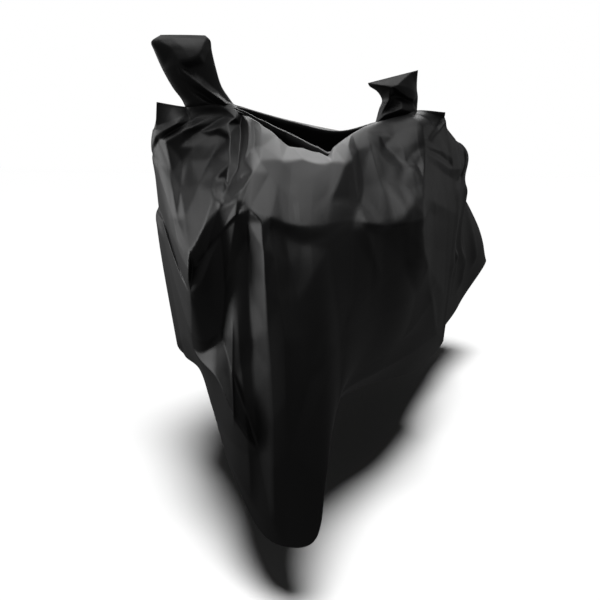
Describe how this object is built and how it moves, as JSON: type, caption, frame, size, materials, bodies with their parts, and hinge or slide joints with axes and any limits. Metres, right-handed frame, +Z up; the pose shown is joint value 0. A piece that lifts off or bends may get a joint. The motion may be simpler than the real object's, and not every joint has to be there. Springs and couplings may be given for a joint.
{
  "type": "motorcycle cover",
  "caption": "Black coated-cloth cover hanging over a parked motorcycle steered to its left, with a pocket for each mirror and a long tongue over the front wheel.",
  "frame": {"origin": "underside of the top where the saddle carries the cloth, on the machine's centre plane", "axes": "-Y to the front wheel, +Y to the tail, +X to the rider's left, +Z up"},
  "size_m": [0.7708, 2.2066, 1.0333],
  "materials": {
    "coated_cloth": "satin"
  },
  "bodies": {
    "root": {"side_panel_left": "coated_cloth", "side_panel_right": "coated_cloth", "mirror_pocket_right": "coated_cloth", "mirror_pocket_left": "coated_cloth"}
  },
  "joints": []
}
